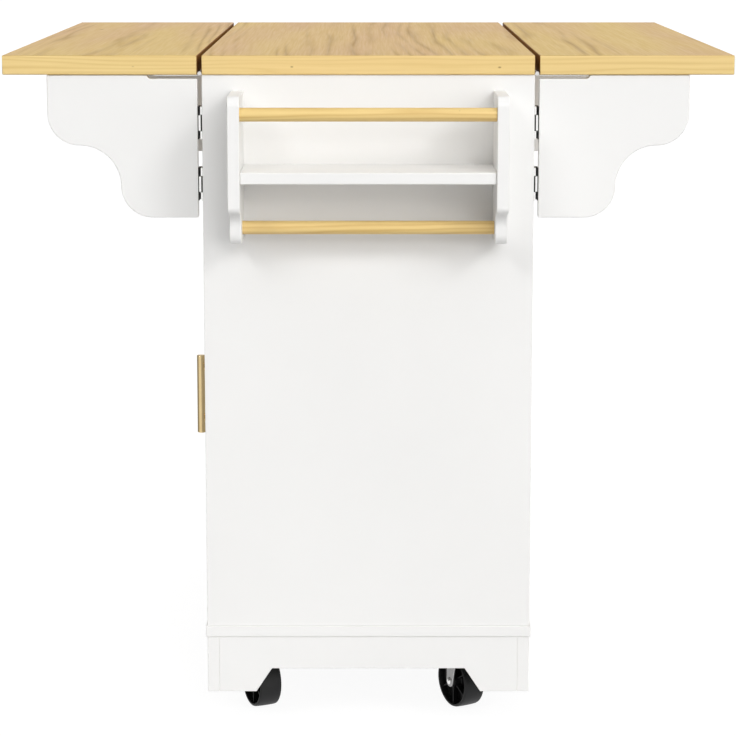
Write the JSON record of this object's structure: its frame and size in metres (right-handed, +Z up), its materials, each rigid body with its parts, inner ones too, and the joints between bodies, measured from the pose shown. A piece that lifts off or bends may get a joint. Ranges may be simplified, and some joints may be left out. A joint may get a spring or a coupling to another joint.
{
  "type": "rolling kitchen serving cart",
  "caption": "White kitchen serving cart on casters with a wooden top, two folding leaves on swing-out brackets, doors, a drawer and an end rack with rods.",
  "frame": {"origin": "on the floor, under the middle of the whole object's box, rack and leaves included", "axes": "+X across the cart from the doors' side to the back, +Y along the cart from the rack's end to the plain end, +Z up"},
  "size_m": [0.972, 1.003, 0.93],
  "materials": {
    "oak": "satin clear lacquer",
    "white_paint": "satin white paint on board",
    "steel": "zinc plated",
    "brass": "satin brass",
    "black_rubber": "matte black",
    "nylon": "matte"
  },
  "bodies": {
    "cart": {"worktop_middle": "oak", "leaf_hinge_fixed_flaps": "steel", "end_panel_near": "white_paint", "end_panel_far": "white_paint", "back_panel": "white_paint", "base_board": "white_paint", "divider_near": "white_paint", "divider_far": "white_paint", "front_panel_near": "white_paint", "front_panel_far": "white_paint", "drawer_deck": "white_paint", "plinth_front": "white_paint", "plinth_back": "white_paint", "plinth_end_near": "white_paint", "plinth_end_far": "white_paint", "shelf_near": "white_paint", "shelf_far": "white_paint", "shelf_middle": "white_paint", "shelf_pins": "steel", "rack_side_left": "white_paint", "rack_side_right": "white_paint", "rack_shelf": "white_paint", "rack_rod_upper": "oak", "rack_rod_lower": "oak", "bracket_hinge_fixed_flaps": "steel", "door_pivot_bushes": "nylon", "drawer_slides_fixed": "steel", "caster_blocks": "oak", "caster_plates": "steel", "caster_screws": "steel"},
    "leaf_front": {"leaf_front": "oak", "leaf_hinge_front_flaps": "steel"},
    "leaf_back": {"leaf_back": "oak", "leaf_hinge_back_flaps": "steel"},
    "bracket_front_near": {"bracket_front_near": "white_paint", "bracket_flaps_front_near": "steel"},
    "bracket_front_far": {"bracket_front_far": "white_paint", "bracket_flaps_front_far": "steel"},
    "bracket_back_near": {"bracket_back_near": "white_paint", "bracket_flaps_back_near": "steel"},
    "bracket_back_far": {"bracket_back_far": "white_paint", "bracket_flaps_back_far": "steel"},
    "door_near": {"door_near": "white_paint", "door_handle_near": "brass", "door_pivot_pins_near": "steel"},
    "door_far": {"door_far": "white_paint", "door_handle_far": "brass", "door_pivot_pins_far": "steel"},
    "drawer": {"drawer_front": "white_paint", "drawer_box": "oak", "drawer_handle": "brass", "drawer_slides_moving": "steel"},
    "caster_fork_front_near": {"caster_fork_front_near": "steel"},
    "caster_wheel_front_near": {"caster_wheel_front_near": "black_rubber"},
    "caster_fork_back_near": {"caster_fork_back_near": "steel"},
    "caster_wheel_back_near": {"caster_wheel_back_near": "black_rubber"},
    "caster_fork_front_far": {"caster_fork_front_far": "steel"},
    "caster_wheel_front_far": {"caster_wheel_front_far": "black_rubber"},
    "caster_fork_back_far": {"caster_fork_back_far": "steel"},
    "caster_wheel_back_far": {"caster_wheel_back_far": "black_rubber"}
  },
  "joints": [
    {"name": "leaf_front_lift", "type": "hinge", "parent": "cart", "child": "leaf_front", "pos_m": [-0.2245, 0.0515, 0.9055], "axis": [0, 1, 0], "range_deg": [0, 12]},
    {"name": "leaf_back_lift", "type": "hinge", "parent": "cart", "child": "leaf_back", "pos_m": [0.2245, 0.0515, 0.9055], "axis": [0, -1, 0], "range_deg": [0, 12]},
    {"name": "bracket_front_near_fold", "type": "hinge", "parent": "cart", "child": "bracket_front_near", "pos_m": [-0.2245, -0.377, 0.808], "axis": [0, 0, -1], "range_deg": [0, 90]},
    {"name": "bracket_front_far_fold", "type": "hinge", "parent": "cart", "child": "bracket_front_far", "pos_m": [-0.2245, 0.48, 0.808], "axis": [0, 0, 1], "range_deg": [0, 90]},
    {"name": "bracket_back_near_fold", "type": "hinge", "parent": "cart", "child": "bracket_back_near", "pos_m": [0.2245, -0.377, 0.808], "axis": [0, 0, 1], "range_deg": [0, 90]},
    {"name": "bracket_back_far_fold", "type": "hinge", "parent": "cart", "child": "bracket_back_far", "pos_m": [0.2245, 0.48, 0.808], "axis": [0, 0, -1], "range_deg": [0, 90]},
    {"name": "door_near_swing", "type": "hinge", "parent": "cart", "child": "door_near", "pos_m": [-0.2145, -0.37, 0.4155], "axis": [0, 0, 1], "range_deg": [0, 105]},
    {"name": "door_far_swing", "type": "hinge", "parent": "cart", "child": "door_far", "pos_m": [-0.2145, 0.473, 0.4155], "axis": [0, 0, -1], "range_deg": [0, 105]},
    {"name": "drawer_slide", "type": "slide", "parent": "cart", "child": "drawer", "axis": [-1, 0, 0], "range_m": [0, 0.3]},
    {"name": "caster_front_near_swivel", "type": "hinge", "parent": "cart", "child": "caster_fork_front_near", "pos_m": [-0.143, -0.3165, 0.1], "axis": [0, 0, 1], "continuous": true},
    {"name": "caster_front_near_roll", "type": "hinge", "parent": "caster_fork_front_near", "child": "caster_wheel_front_near", "pos_m": [-0.15202, -0.29643, 0.0375], "axis": [-0.9121, -0.4099, 0], "continuous": true},
    {"name": "caster_back_near_swivel", "type": "hinge", "parent": "cart", "child": "caster_fork_back_near", "pos_m": [0.143, -0.3165, 0.1], "axis": [0, 0, 1], "continuous": true},
    {"name": "caster_back_near_roll", "type": "hinge", "parent": "caster_fork_back_near", "child": "caster_wheel_back_near", "pos_m": [0.132, -0.29745, 0.0375], "axis": [-0.866, -0.5, 0], "continuous": true},
    {"name": "caster_front_far_swivel", "type": "hinge", "parent": "cart", "child": "caster_fork_front_far", "pos_m": [-0.143, 0.4195, 0.1], "axis": [0, 0, 1], "continuous": true},
    {"name": "caster_front_far_roll", "type": "hinge", "parent": "caster_fork_front_far", "child": "caster_wheel_front_far", "pos_m": [-0.16294, 0.4102, 0.0375], "axis": [0.4226, -0.9063, 0], "continuous": true},
    {"name": "caster_back_far_swivel", "type": "hinge", "parent": "cart", "child": "caster_fork_back_far", "pos_m": [0.143, 0.4195, 0.1], "axis": [0, 0, 1], "continuous": true},
    {"name": "caster_back_far_roll", "type": "hinge", "parent": "caster_fork_back_far", "child": "caster_wheel_back_far", "pos_m": [0.15714, 0.40265, 0.0375], "axis": [0.766, 0.6428, 0], "continuous": true}
  ]
}
